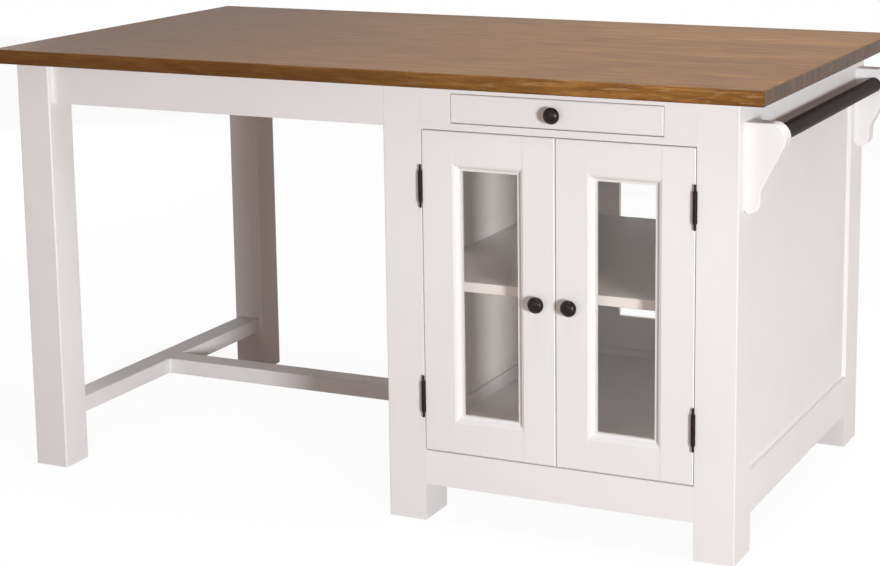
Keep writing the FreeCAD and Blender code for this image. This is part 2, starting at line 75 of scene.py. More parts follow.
def blend_of(tree, amount, first, second):
    """Mix two colours by an amount from 0 to 1."""
    made = put(tree, "ShaderNodeMix", data_type="RGBA", clamp_factor=True)
    for number, value in ((MIX_FACTOR, amount), (MIX_FIRST, first), (MIX_SECOND, second)):
        socket = made.inputs[number]
        if isinstance(value, bpy.types.NodeSocket):
            tree.links.new(value, socket)
        else:
            socket.default_value = value
    return made.outputs[MIX_RESULT]


def noise_of(tree, vector, scale, detail=3.0, rough=0.55, twist=0.0):
    sockets = {"Vector": vector, "Scale": scale, "Detail": detail, "Roughness": rough, "Distortion": twist}
    return put(tree, "ShaderNodeTexNoise", sockets).outputs["Fac"]


def stretched(tree, vector, x, y, z):
    return put(tree, "ShaderNodeVectorMath", {0: vector, 1: (x, y, z)}, operation="MULTIPLY").outputs[0]


def start_effect(name, inputs, outputs):
    group = bpy.data.node_groups.new(name, "ShaderNodeTree")
    for label, kind, value in inputs:
        socket = group.interface.new_socket(label, in_out="INPUT", socket_type="NodeSocket" + kind)
        if value is not None:
            socket.default_value = value
    for label, kind in outputs:
        group.interface.new_socket(label, in_out="OUTPUT", socket_type="NodeSocket" + kind)
    return group, put(group, "NodeGroupInput").outputs, put(group, "NodeGroupOutput").inputs


def use_effect(tree, group, **sockets):
    made = put(tree, "ShaderNodeGroup")
    made.node_tree = group
    for name, value in sockets.items():
        name = name.replace("_", " ")
        if isinstance(value, bpy.types.NodeSocket):
            tree.links.new(value, made.inputs[name])
        else:
            made.inputs[name].default_value = value
    return made.outputs


def add_object(name, data):
    """Object in the scene's own collection."""
    made = bpy.data.objects.new(name, data)
    bpy.context.collection.objects.link(made)
    return made


# ---------------------------------------------------------------- shared effects
def make_wood_figure():
    """Grain that runs along X: soft figure, fine fibres, pale flecks and now and then a knot."""
    group, given, result = start_effect(
        "wood figure",
        [("Vector", "Vector", None), ("Board Width", "Float", 0.12), ("Figure", "Float", 1.0),
         ("Knots", "Float", 1.0)],
        [("Tone", "Float"), ("Board", "Float"), ("Flecks", "Float"), ("Knot", "Float"), ("Height", "Float")])
    across = put(group, "ShaderNodeSeparateXYZ", {0: given["Vector"]}).outputs
    row = math_of(group, "FLOOR", math_of(group, "DIVIDE", across["Y"], given["Board Width"]))
    board = put(group, "ShaderNodeTexWhiteNoise", {"W": row}, noise_dimensions="1D").outputs["Value"]
    slide = put(group, "ShaderNodeCombineXYZ", {"X": math_of(group, "MULTIPLY", board, 9.0), "Z": row}).outputs[0]
    place = put(group, "ShaderNodeVectorMath", {0: given["Vector"], 1: slide}, operation="ADD").outputs[0]
    # knots: round in the board, and they push the grain aside
    cells = put(group, "ShaderNodeTexVoronoi", {"Vector": stretched(group, place, 6.0, 14.0, 14.0), "Scale": 1.0})
    near = span_of(group, cells.outputs["Distance"], 0.02, 0.10, 1.0, 0.0)
    chance = put(group, "ShaderNodeSeparateColor", {0: cells.outputs["Color"]}).outputs[0]
    picked = span_of(group, chance, 0.70, 0.74)
    knot = math_of(group, "MULTIPLY", math_of(group, "MULTIPLY", near, picked), given["Knots"])
    bend = put(group, "ShaderNodeCombineXYZ", {"Y": math_of(group, "MULTIPLY", knot, 0.012)}).outputs[0]
    place = put(group, "ShaderNodeVectorMath", {0: place, 1: bend}, operation="ADD").outputs[0]
    figure = noise_of(group, stretched(group, place, 6.5, 70.0, 70.0), 1.0, 5.0, 0.62, 0.3)
    figure = math_of(group, "MULTIPLY", math_of(group, "SUBTRACT", figure, 0.5), given["Figure"])
    fibre = noise_of(group, stretched(group, place, 17.0, 330.0, 330.0), 1.0, 4.0, 0.65)
    broad = noise_of(group, stretched(group, place, 2.0, 9.0, 9.0), 1.0, 2.0)
    tone = math_of(group, "ADD", math_of(group, "MULTIPLY", figure, 1.7), math_of(group, "MULTIPLY", fibre, 0.5))
    tone = math_of(group, "ADD", tone, math_of(group, "MULTIPLY", broad, 0.5))
    flecks = noise_of(group, stretched(group, place, 26.0, 240.0, 240.0), 1.0, 2.0, 0.5)
    flecks = span_of(group, flecks, 0.54, 0.68)
    tone = math_of(group, "SUBTRACT", tone, math_of(group, "MULTIPLY", knot, 0.5), clamp=True)
    group.links.new(tone, result["Tone"])
    group.links.new(board, result["Board"])
    group.links.new(flecks, result["Flecks"])
    group.links.new(knot, result["Knot"])
    group.links.new(math_of(group, "SUBTRACT", fibre, math_of(group, "MULTIPLY", flecks, 0.4)), result["Height"])
    return group


def make_brush_marks():
    """Faint bristle lines that run along X, over a slightly wavy coat."""
    group, given, result = start_effect(
        "brush marks", [("Vector", "Vector", None), ("Depth", "Float", 1.0)],
        [("Height", "Float"), ("Tone", "Float")])
    bristles = noise_of(group, stretched(group, given["Vector"], 9.0, 620.0, 620.0), 1.0, 3.0, 0.6)
    waves = noise_of(group, stretched(group, given["Vector"], 3.0, 34.0, 34.0), 1.0, 2.0)
    cloud = noise_of(group, given["Vector"], 3.2, 3.0, 0.55)
    height = math_of(group, "ADD", math_of(group, "MULTIPLY", bristles, 0.35), waves)
    group.links.new(math_of(group, "MULTIPLY", height, given["Depth"]), result["Height"])
    tone = math_of(group, "ADD", math_of(group, "MULTIPLY", bristles, 0.25),
                   math_of(group, "MULTIPLY", cloud, 0.75))
    group.links.new(tone, result["Tone"])
    return group


def make_soft_arris():
    """Normal rounded over the edges, and a mask that is white along them."""
    group, given, result = start_effect(
        "soft arris", [("Radius", "Float", 0.0015)], [("Normal", "Vector"), ("Edge", "Float")])
    rounded = put(group, "ShaderNodeBevel", {"Radius": given["Radius"]}, samples=4).outputs[0]
    flat = put(group, "ShaderNodeNewGeometry").outputs["Normal"]
    same = put(group, "ShaderNodeVectorMath", {0: rounded, 1: flat}, operation="DOT_PRODUCT").outputs["Value"]
    group.links.new(rounded, result["Normal"])
    group.links.new(span_of(group, same, 0.75, 0.995, 1.0, 0.0), result["Edge"])
    return group


WOOD_FIGURE = make_wood_figure()
BRUSH_MARKS = make_brush_marks()
SOFT_ARRIS = make_soft_arris()


# ---------------------------------------------------------------- materials
def start_material(name):
    material = bpy.data.materials.new(name)
    material.use_nodes = True
    tree = material.node_tree
    shader = tree.nodes["Principled BSDF"]
    place = put(tree, "ShaderNodeTexCoord").outputs["Object"]
    return material, tree, shader, place


def turned_place(tree, place, turn, shift=(0, 0, 0)):
    """Pattern coordinates turned so that the grain runs along the piece."""
    return put(tree, "ShaderNodeMapping", {"Vector": place, "Rotation": turn, "Location": shift}).outputs[0]


def add_relief(tree, shader, height, strength, distance, normal):
    """Bump over the softened edges."""
    bump = put(tree, "ShaderNodeBump", {"Height": height, "Strength": strength, "Distance": distance,
                                        "Normal": normal})
    tree.links.new(bump.outputs[0], shader.inputs["Normal"])


# turns that lay a pattern made along X along another axis
ALONG = {"x": (0, 0, 0), "y": (0, 0, math.pi / 2), "z": (0, math.pi / 2, 0)}


# colours of the top
FLECK, KNOT = (0.44, 0.28, 0.15, 1), (0.05, 0.018, 0.006, 1)
DARKER_TONE, ARRIS_SHADE = (0.075, 0.027, 0.004, 1), (0.075, 0.030, 0.010, 1)
END_DARK, END_LIGHT = (0.042, 0.023, 0.014, 1), (0.150, 0.090, 0.057, 1)
TOP_TONES = ((0.12, (0.070, 0.026, 0.006)), (0.44, (0.205, 0.084, 0.017)), (0.62, (0.275, 0.120, 0.027)),
             (0.95, (0.450, 0.215, 0.056)))


def make_stained_top():
    """Stained planks, darker towards the seating end, with a painted shade line along the edges."""
    material, tree, shader, place = start_material("stained_top")
    figure = use_effect(tree, WOOD_FIGURE, Vector=turned_place(tree, place, (0, 0, 0), (0.31, 0.035, 0.4)),
                        Board_Width=0.116, Figure=1.0, Knots=1.0)
    tone = math_of(tree, "ADD", figure["Tone"], math_of(tree, "MULTIPLY", figure["Board"], 0.16))
    ramp = put(tree, "ShaderNodeValToRGB", {"Fac": tone})
    elements = ramp.color_ramp.elements
    elements.remove(elements[1])
    for position, colour in TOP_TONES:
        element = elements[0] if position == TOP_TONES[0][0] else elements.new(position)
        element.color = (*colour, 1)
    colour = blend_of(tree, math_of(tree, "MULTIPLY", figure["Flecks"], 0.42), ramp.outputs[0], FLECK)
    colour = blend_of(tree, math_of(tree, "MULTIPLY", figure["Knot"], 0.75), colour, KNOT)
    # blended towards a darker tone, most at the seating end: on flat faces everywhere, on upright faces fading out
    # past the middle
    along = put(tree, "ShaderNodeSeparateXYZ", {0: place}).outputs["X"]
    facing = put(tree, "ShaderNodeSeparateXYZ", {0: put(tree, "ShaderNodeNewGeometry").outputs["Normal"]}).outputs
    flat = math_of(tree, "ABSOLUTE", facing["Z"])
    on_flat = math_of(tree, "MULTIPLY", flat, span_of(tree, along, -0.75, 0.3, 0.90, 0.46))
    upright = math_of(tree, "SUBTRACT", 1.0, flat)
    on_edge = math_of(tree, "MULTIPLY", upright, span_of(tree, along, 0.05, 0.5, 0.72, 0.0))
    colour = blend_of(tree, math_of(tree, "ADD", on_flat, on_edge), colour, DARKER_TONE)
    # end grain: darker, cooler, with short pores instead of long fibres
    end = span_of(tree, math_of(tree, "ABSOLUTE", facing["X"]), 0.6, 0.8)
    pores = noise_of(tree, place, 420.0, 3.0, 0.6)
    rings = noise_of(tree, stretched(tree, place, 1, 40, 8), 1.0, 3.0, 0.55, 0.6)
    mix = math_of(tree, "ADD", math_of(tree, "MULTIPLY", pores, 0.25), math_of(tree, "MULTIPLY", rings, 0.75))
    colour = blend_of(tree, end, colour, blend_of(tree, span_of(tree, mix, 0.25, 0.75), END_DARK, END_LIGHT))
    arris = use_effect(tree, SOFT_ARRIS, Radius=0.0025)
    # painted shade: a thin dark line drawn along the edges
    arris_shade = math_of(tree, "MULTIPLY", arris["Edge"], 2.0, clamp=True)
    colour = blend_of(tree, math_of(tree, "MULTIPLY", arris_shade, 0.85), colour, ARRIS_SHADE)
    tree.links.new(colour, shader.inputs["Base Color"])
    rough = span_of(tree, figure["Height"], 0.2, 0.8, 0.50, 0.40)
    tree.links.new(rough, shader.inputs["Roughness"])
    shader.inputs["Specular IOR Level"].default_value = 0.14
    add_relief(tree, shader, figure["Height"], 0.25, 0.0006, arris["Normal"])
    return material


def make_white_paint(along):
    """Satin off-white paint brushed along a piece's length."""
    material, tree, shader, place = start_material("white_paint_along_" + along)
    marks = use_effect(tree, BRUSH_MARKS, Vector=turned_place(tree, place, ALONG[along]), Depth=1.0)
    arris = use_effect(tree, SOFT_ARRIS, Radius=0.0008)
    colour = blend_of(tree, span_of(tree, marks["Tone"], 0.25, 0.75), (0.775, 0.748, 0.752, 1),
                      (0.825, 0.797, 0.801, 1))
    # painted highlight: the paint is drawn lighter along the edges
    colour = blend_of(tree, math_of(tree, "MULTIPLY", arris["Edge"], 0.10), colour, (0.90, 0.885, 0.875, 1))
    # painted light: paint deep in narrow gaps is drawn lighter, so that their shade reads as soft grey lines
    closed = put(tree, "ShaderNodeAmbientOcclusion", {"Distance": 0.008}, samples=3).outputs["AO"]
    colour = blend_of(tree, span_of(tree, closed, 0.05, 0.45, 1.0, 0.0), colour, (0.985, 0.975, 0.97, 1))
    tree.links.new(colour, shader.inputs["Base Color"])
    tree.links.new(span_of(tree, marks["Tone"], 0.2, 0.8, 0.52, 0.40), shader.inputs["Roughness"])
    shader.inputs["Specular IOR Level"].default_value = 0.12
    add_relief(tree, shader, marks["Height"], 0.18, 0.0005, arris["Normal"])
    return material


def make_bare_wood(along):
    material, tree, shader, place = start_material("bare_wood_along_" + along)
    figure = use_effect(tree, WOOD_FIGURE, Vector=turned_place(tree, place, ALONG[along]), Board_Width=0.3,
                        Figure=0.9, Knots=0.0)
    colour = blend_of(tree, figure["Tone"], (0.47, 0.32, 0.17, 1), (0.72, 0.56, 0.36, 1))
    colour = blend_of(tree, math_of(tree, "MULTIPLY", figure["Flecks"], 0.4), colour, (0.36, 0.23, 0.12, 1))
    arris = use_effect(tree, SOFT_ARRIS, Radius=0.001)
    tree.links.new(colour, shader.inputs["Base Color"])
    tree.links.new(span_of(tree, figure["Height"], 0.2, 0.8, 0.72, 0.58), shader.inputs["Roughness"])
    add_relief(tree, shader, figure["Height"], 0.3, 0.0005, arris["Normal"])
    return material


def make_dark_bronze(name, rough, gloss, dimples):
    """Oiled bronze, with its middling roughness, its gloss and the depth of its hammer marks."""
    material, tree, shader, place = start_material(name)
    mottle = noise_of(tree, place, 130.0, 4.0, 0.6)
    grit = noise_of(tree, place, 1400.0, 2.0, 0.5)
    arris = use_effect(tree, SOFT_ARRIS, Radius=0.0009)
    colour = blend_of(tree, span_of(tree, mottle, 0.35, 0.7), (0.009, 0.004, 0.003, 1), (0.021, 0.011, 0.008, 1))
    # lighter bronze along the edges: partly rubbed-through wear, partly painted highlight
    colour = blend_of(tree, math_of(tree, "MULTIPLY", arris["Edge"], 0.2), colour, (0.10, 0.070, 0.052, 1))
    tree.links.new(colour, shader.inputs["Base Color"])
    tree.links.new(span_of(tree, mottle, 0.3, 0.75, rough - 0.06, rough + 0.08), shader.inputs["Roughness"])
    shader.inputs["Specular IOR Level"].default_value = gloss
    cells = put(tree, "ShaderNodeTexVoronoi", {"Vector": place, "Scale": 210.0}, feature="SMOOTH_F1")
    marks = cells.outputs["Distance"]
    height = math_of(tree, "ADD", math_of(tree, "MULTIPLY", mottle, 0.5), math_of(tree, "MULTIPLY", grit, 0.2))
    height = math_of(tree, "ADD", height, math_of(tree, "MULTIPLY", marks, dimples))
    add_relief(tree, shader, height, 0.3, 0.0006, arris["Normal"])
    return material


def make_zinc():
    material, tree, shader, place = start_material("zinc_steel")
    spangle = put(tree, "ShaderNodeTexVoronoi", {"Vector": place, "Scale": 320.0}).outputs["Color"]
    tone = put(tree, "ShaderNodeSeparateColor", {0: spangle}).outputs[0]
    tree.links.new(blend_of(tree, tone, (0.50, 0.51, 0.53, 1), (0.66, 0.67, 0.68, 1)), shader.inputs["Base Color"])
    tree.links.new(span_of(tree, tone, 0.0, 1.0, 0.30, 0.45), shader.inputs["Roughness"])
    shader.inputs["Metallic"].default_value = 0.9
    return material


def make_window_glass():
    """Clear glass that lets light through to the shelves, tinted warm on its way in."""
    material, tree, shader, place = start_material("window_glass")
    film = noise_of(tree, place, 6.0, 3.0, 0.6)
    tree.links.new(span_of(tree, film, 0.35, 0.75, 0.0, 0.035), shader.inputs["Roughness"])
    shader.inputs["Base Color"].default_value = (0.992, 0.998, 0.995, 1)
    shader.inputs["Transmission Weight"].default_value = 1.0
    shader.inputs["IOR"].default_value = 1.46
    ray = put(tree, "ShaderNodeLightPath").outputs
    passes = math_of(tree, "MAXIMUM", ray["Is Shadow Ray"], ray["Is Diffuse Ray"])
    # painted light: light that passes the glass is tinted warm, which warms the shade inside the cabinet
    warm_light_pass = put(tree, "ShaderNodeBsdfTransparent", {"Color": (0.985, 0.95, 0.925, 1)})
    mixed = put(tree, "ShaderNodeMixShader", {0: passes, 1: shader.outputs[0], 2: warm_light_pass.outputs[0]})
    tree.links.new(mixed.outputs[0], tree.nodes["Material Output"].inputs["Surface"])
    return material


PAINT = {along: make_white_paint(along) for along in "xyz"}
BARE = {along: make_bare_wood(along) for along in "xy"}
STAINED_TOP = make_stained_top()
DARK_BRONZE = make_dark_bronze("dark_bronze", 0.42, 0.13, 0.0)
KNOB_BRONZE = make_dark_bronze("hammered_bronze", 0.30, 0.19, 2.4)
BAR_BRONZE = make_dark_bronze("bar_bronze", 0.50, 0.05, 0.0)
ZINC = make_zinc()
GLASS = make_window_glass()

# grain direction of each painted piece
RUNS_ALONG_Y = ("left_end_apron", "cross_stretcher", "left_side_rails", "right_side_rails")
UPRIGHT = ("leg", "post", "side_panel", "door_frame", "door_beads")


def finish_of(name):
    if name == "tabletop":
        return STAINED_TOP
    if "glass" in name:
        return GLASS
    if name == "towel_bar":
        return BAR_BRONZE
    if "knob" in name or "hinges" in name or "hardware" in name:
        return DARK_BRONZE
    if name == "door_catches":
        return ZINC
    if name in ("shelf_cleats", "bottom_cleats", "drawer_runners", "drawer_sides", "drawer_bottom",
                "corner_blocks"):
        return BARE["y"]
    if name in ("top_battens", "drawer_ends"):
        return BARE["x"]
    if name in RUNS_ALONG_Y or "bracket" in name:
        return PAINT["y"]
    if any(word in name for word in UPRIGHT):
        return PAINT["z"]
    return PAINT["x"]


def dress(piece, material):
    if piece.material_slots:
        for place in piece.material_slots:
            place.material = material
    else:
        piece.data.materials.append(material)


for name, piece in nodes.items():
    dress(piece, finish_of(name))


# ---------------------------------------------------------------- metal fittings
CABINET_MIDDLE = (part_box("front_left_post")[0][0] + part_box("front_right_post")[1][0]) / 2
DOOR_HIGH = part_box("front_left_door_frame")[1]
MIRROR_Y = Matrix.Scale(-1, 4, (0, 1, 0))
MIRROR_X = Matrix.Translation((2 * CABINET_MIDDLE, 0, 0)) @ Matrix.Scale(-1, 4, (1, 0, 0))
# everything on the left front door is repeated on the others by these
DOOR_TURNS = {"front_left_door": Matrix(), "front_right_door": MIRROR_X,
              "back_left_door": MIRROR_Y, "back_right_door": MIRROR_X @ MIRROR_Y}


def piece_of(name, mesh, material, body, slot, *stands_for):
    """Finished mesh as a piece of the model, smooth except at its sharp edges."""
    piece = add_object(name, mesh)
    mesh.name = name
    mesh.materials.clear()
    mesh.materials.append(material)
    mesh.shade_smooth()
    mesh.set_sharp_from_angle(angle=math.radians(35))
    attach(piece, body)
    if stands_for:
        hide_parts(*stands_for)
    return piece


def mesh_of(shape):
    """Mesh from a bmesh of closed forms, with all faces outwards."""
    bmesh.ops.recalc_face_normals(shape, faces=shape.faces)
    mesh = bpy.data.meshes.new("shape")
    shape.to_mesh(mesh)
    shape.free()
    return mesh


def turn_on(shape, outline, steps, place=Matrix()):
    """Turned form from (radius, height) points up its axis; a radius of 0 closes it."""
    rings = []
    for radius, height in outline:
        turns = [math.tau * index / steps for index in range(steps if radius else 1)]
        rings.append([shape.verts.new(place @ Vector((radius * math.cos(t), radius * math.sin(t), height)))
                      for t in turns])
    for low, high in zip(rings, rings[1:]):
        for index in range(steps):
            after = index + 1
            corners = (low[index % len(low)], low[after % len(low)],
                       high[after % len(high)], high[index % len(high)])
            shape.faces.new(list(dict.fromkeys(corners)))


def block_on(shape, low, high, round_corners=0.0):
    """Plate between two corners; its two far upright corners may be rounded."""
    middle = (Vector(low) + Vector(high)) / 2
    size = Vector(high) - Vector(low)
    made = bmesh.ops.create_cube(shape, size=1, matrix=Matrix.Translation(middle) @ Matrix.Diagonal((*size, 1)))
    verts = made["verts"]
    if round_corners:
        edges = {e for v in verts for e in v.link_edges
                 if all(abs(w.co.y - high[1]) < 1e-6 for w in e.verts)
                 and abs(e.verts[0].co.z - e.verts[1].co.z) < 1e-6}
        bmesh.ops.bevel(shape, geom=list(edges), offset=round_corners, segments=4, affect="EDGES", profile=0.5)


# hinge sizes, as in the solids
HINGE_X, HINGE_Y = 0.1375, -0.438
HINGE_HEIGHTS = (0.256, 0.676)
BARREL_RADIUS, BARREL_LENGTH, KNUCKLE_GAP = 0.0045, 0.060, 0.0003
FINIAL_HEIGHT, FINIAL_RADIUS, FINIAL_TIP = 0.013, 0.0030, 0.0022
LEAF_CORNER = 0.0016
TAB_DEPTH = 0.0054              # strip from the pin's axis into the leaf, which joins knuckle and leaf
COUNTERSINK = ((0, -0.0002), (0.0037, -0.0002), (0.0035, 0), (0.0017, 0.0018), (0, 0.0018))
LEAF_IN, LEAF_OUT, LEAF_BACK, LEAF_HALF = 0.0001, 0.0017, -0.417, 0.029
LEAF_SCREWS = ((-0.4212, -0.0200), (-0.4272, 0.0), (-0.4212, 0.0200))


def knuckle_on(shape, low, high, place):
    r, soft = BARREL_RADIUS, 0.0004
    turn_on(shape, [(0, low), (r - soft, low), (r, low + soft), (r, high - soft), (r - soft, high), (0, high)],
            32, place)


def leaf_mesh(side):
    """Leaf of one hinge with its countersunk holes: side 1 goes on the door, -1 on the post."""
    plate = bmesh.new()
    x0, x1 = sorted((HINGE_X + side * LEAF_IN, HINGE_X + side * LEAF_OUT))
    front = HINGE_Y + BARREL_RADIUS + KNUCKLE_GAP
    block_on(plate, (x0, front, -LEAF_HALF), (x1, LEAF_BACK, LEAF_HALF), LEAF_CORNER)
    holes = bmesh.new()
    turn_in = Matrix.Rotation(side * math.pi / 2, 4, "Y")
    for y, z in LEAF_SCREWS:
        place = Matrix.Translation((HINGE_X + side * LEAF_IN, y, z)) @ turn_in
        turn_on(holes, COUNTERSINK, 24, place)
    plate_piece = add_object("leaf_plate", mesh_of(plate))
    holes_piece = add_object("leaf_holes", mesh_of(holes))
    cut = plate_piece.modifiers.new("holes", "BOOLEAN")
    cut.operation, cut.object, cut.solver = "DIFFERENCE", holes_piece, "EXACT"
    mesh = bpy.data.meshes.new_from_object(plate_piece.evaluated_get(bpy.context.evaluated_depsgraph_get()))
    for helper in (plate_piece, holes_piece):
        bpy.data.objects.remove(helper)
    return mesh


def hinge_side_on(shape, side, leaf, turn):
    """Both leaves of one door on one side of the pin, with their knuckles, and the pin's finials on the post."""
    step = BARREL_LENGTH / 3
    tab = (HINGE_X + side * LEAF_IN, HINGE_X + side * LEAF_OUT)
    for height in HINGE_HEIGHTS:
        place = turn @ Matrix.Translation((0, 0, height))
        copy = leaf.copy()
        copy.transform(place)
        shape.from_mesh(copy)
        bpy.data.meshes.remove(copy)
        axis = place @ Matrix.Translation((HINGE_X, HINGE_Y, 0))
        for index in ((1,) if side > 0 else (0, 2)):
            low = -BARREL_LENGTH / 2 + index * step + (KNUCKLE_GAP / 2 if index else 0)
            high = -BARREL_LENGTH / 2 + (index + 1) * step - (KNUCKLE_GAP / 2 if index < 2 else 0)
            knuckle_on(shape, low, high, axis)
            z0, z1 = max(low, -LEAF_HALF), min(high, LEAF_HALF)
            bmesh.ops.create_cube(shape, size=1, matrix=place @ Matrix.Translation(
                (sum(tab) / 2, HINGE_Y + TAB_DEPTH / 2, (z0 + z1) / 2)) @ Matrix.Diagonal(
                (LEAF_OUT - LEAF_IN, TAB_DEPTH, z1 - z0, 1)))
        if side < 0:
            for way in (1, -1):
                base = BARREL_LENGTH / 2
                tip = base + FINIAL_HEIGHT
                outline = [(0, base - 0.001), (FINIAL_RADIUS * 0.86, base - 0.001),
                           (FINIAL_RADIUS * 0.86, base + 0.0006), (FINIAL_RADIUS, base + 0.0012),
                           (FINIAL_RADIUS, base + 0.0022),
                           (FINIAL_RADIUS * 0.84, base + 0.0030), (FINIAL_RADIUS * 0.80, base + 0.0060),
                           (FINIAL_TIP, tip - 0.0018), (FINIAL_TIP * 0.8, tip - 0.0007),
                           (FINIAL_TIP * 0.4, tip - 0.0001), (0, tip)]
                turn_on(shape, [(r, way * h) for r, h in outline], 24, axis)


post_leaf, door_leaf = leaf_mesh(-1), leaf_mesh(1)
post_side = bmesh.new()
for door, turn in DOOR_TURNS.items():
    hinge_side_on(post_side, -1, post_leaf, turn)
    door_side = bmesh.new()
    hinge_side_on(door_side, 1, door_leaf, turn)
    piece_of(door + "_leaves", mesh_of(door_side), DARK_BRONZE, door, "dark_bronze", door + "_hardware")
piece_of("post_leaves", mesh_of(post_side), DARK_BRONZE, "root", "dark_bronze", "post_hinges")


# ---------------------------------------------------------------- strike plates of the catches
STRIKE_WIDE, STRIKE_TALL, STRIKE_THICK, STRIKE_MARGIN = 0.040, 0.011, 0.0015, 0.004
STRIKE_HIGH = (DOOR_HIGH[0] - STRIKE_MARGIN, DOOR_HIGH[1] + STRIKE_THICK, DOOR_HIGH[2] - STRIKE_MARGIN)
STRIKE_LOW = (STRIKE_HIGH[0] - STRIKE_WIDE, DOOR_HIGH[1], STRIKE_HIGH[2] - STRIKE_TALL)


def strike_on(shape, turn):
    low, high = STRIKE_LOW, STRIKE_HIGH
    bmesh.ops.create_cube(shape, size=1, matrix=turn @ Matrix.Translation(
        (Vector(low) + Vector(high)) / 2) @ Matrix.Diagonal((*(Vector(high) - Vector(low)), 1)))
    bmesh.ops.bevel(shape, geom=[e for e in shape.edges if abs(e.verts[0].co.y - e.verts[1].co.y) > 1e-6],
                    offset=0.002, segments=4, affect="EDGES", profile=0.5)


for door, turn in DOOR_TURNS.items():
    plate = bmesh.new()
    strike_on(plate, turn)
    piece_of(door + "_strike", mesh_of(plate), ZINC, door, "zinc_steel")


# ---------------------------------------------------------------- Geometry Nodes: turned knobs and screws
def start_pattern(name, inputs):
    group = bpy.data.node_groups.new(name, "GeometryNodeTree")
    group.interface.new_socket("Geometry", in_out="INPUT", socket_type="NodeSocketGeometry")
    group.interface.new_socket("Geometry", in_out="OUTPUT", socket_type="NodeSocketGeometry")
    for label, kind, value in inputs:
        socket = group.interface.new_socket(label, in_out="INPUT", socket_type="NodeSocket" + kind)
        if value is not None:
            socket.default_value = value
    return group, put(group, "NodeGroupInput").outputs, put(group, "NodeGroupOutput").inputs["Geometry"]


def run_pattern(group, mesh, values):
    """Plain mesh that a Geometry Nodes tree makes from a mesh and its named inputs."""
    helper = add_object("helper", mesh)
    work = helper.modifiers.new("pattern", "NODES")
    work.node_group = group
    for socket in group.interface.items_tree:
        if socket.in_out == "INPUT" and socket.name in values:
            work[socket.identifier] = values[socket.name]
    made = bpy.data.meshes.new_from_object(helper.evaluated_get(bpy.context.evaluated_depsgraph_get()))
    helper.modifiers.remove(work)
    bpy.data.objects.remove(helper)
    return made


def last_steps(group, shape, material, result):
    solid = put(group, "GeometryNodeRealizeInstances", {"Geometry": shape}).outputs[0]
    dressed = put(group, "GeometryNodeSetMaterial", {"Geometry": solid, "Material": material}).outputs[0]
    group.links.new(dressed, result)


def share_curve(group, value, points):
    curve = put(group, "ShaderNodeFloatCurve", {"Value": value})
    line = curve.mapping.curves[0]
    line.points[0].location, line.points[1].location = points[0], points[-1]
    for point in points[1:-1]:
        line.points.new(*point)
    curve.mapping.update()
    return curve.outputs[0]


# share of the way along the knob's outline, of its radius and of its projection
KNOB_OUTLINE = ((0, 0, 0), (0.06, 0.56, 0.0), (0.12, 0.54, 0.05), (0.20, 0.40, 0.12), (0.32, 0.35, 0.27),
                (0.42, 0.52, 0.38), (0.52, 0.84, 0.45), (0.60, 0.97, 0.53), (0.67, 1.0, 0.62), (0.75, 0.95, 0.74),
                (0.83, 0.80, 0.86), (0.91, 0.52, 0.955), (1, 0, 1))
KNOB_SIDES, KNOB_RINGS = 49, 53


def make_knob_pattern():
    """Knob turned about its axis: foot, slim neck, round rim and domed crown."""
    group, given, result = start_pattern("turned knob", [
        ("Radius", "Float", 0.016), ("Projection", "Float", 0.026), ("Sides", "Int", None), ("Rings", "Int", None),
        ("Material", "Material", None)])
    sheet = put(group, "GeometryNodeMeshGrid", {"Size X": 1.0, "Size Y": 1.0, "Vertices X": given["Sides"],
                                                "Vertices Y": given["Rings"]}).outputs["Mesh"]
    here = put(group, "ShaderNodeSeparateXYZ", {0: put(group, "GeometryNodeInputPosition").outputs[0]}).outputs
    turn = math_of(group, "MULTIPLY", math_of(group, "ADD", here["X"], 0.5), math.tau)
    along = math_of(group, "ADD", here["Y"], 0.5)
    radius = share_curve(group, along, [(way, out) for way, out, rise in KNOB_OUTLINE])
    height = share_curve(group, along, [(way, rise) for way, out, rise in KNOB_OUTLINE])
    radius = math_of(group, "MULTIPLY", radius, given["Radius"])
    round_place = put(group, "ShaderNodeCombineXYZ", {
        "X": math_of(group, "MULTIPLY", radius, math_of(group, "COSINE", turn)),
        "Y": math_of(group, "MULTIPLY", radius, math_of(group, "SINE", turn)),
        "Z": math_of(group, "MULTIPLY", height, given["Projection"])}).outputs[0]
    shape = put(group, "GeometryNodeSetPosition", {"Geometry": sheet, "Position": round_place}).outputs[0]
    shape = put(group, "GeometryNodeMergeByDistance", {"Geometry": shape, "Distance": 0.00002}).outputs[0]
    last_steps(group, shape, given["Material"], result)
    return group


KNOB_PATTERN = make_knob_pattern()


def fit_knob(node, body, place, turn=Matrix()):
    """Knob that stands out to the front from a place on a face, mirrored to its own door."""
    mesh = run_pattern(KNOB_PATTERN, bpy.data.meshes.new("empty"),
                       {"Sides": KNOB_SIDES, "Rings": KNOB_RINGS, "Material": KNOB_BRONZE})
    mesh.transform(turn @ Matrix.Translation(place) @ Matrix.Rotation(math.pi / 2, 4, "X"))
    shape = bmesh.new()
    shape.from_mesh(mesh)
    piece_of(node + "_turned", mesh_of(shape), KNOB_BRONZE, body, "dark_bronze", node)


def knob_foot(node):
    """Middle of a front knob's foot, on the face that carries it."""
    low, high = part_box(node)
    return Vector(((low[0] + high[0]) / 2, high[1], (low[2] + high[2]) / 2))


DOOR_KNOB = knob_foot("front_left_door_knob")
DRAWER_KNOB = knob_foot("drawer_knob")
for door, turn in DOOR_TURNS.items():
    fit_knob(door + "_knob", door, DOOR_KNOB, turn)
fit_knob("drawer_knob", "drawer", DRAWER_KNOB)


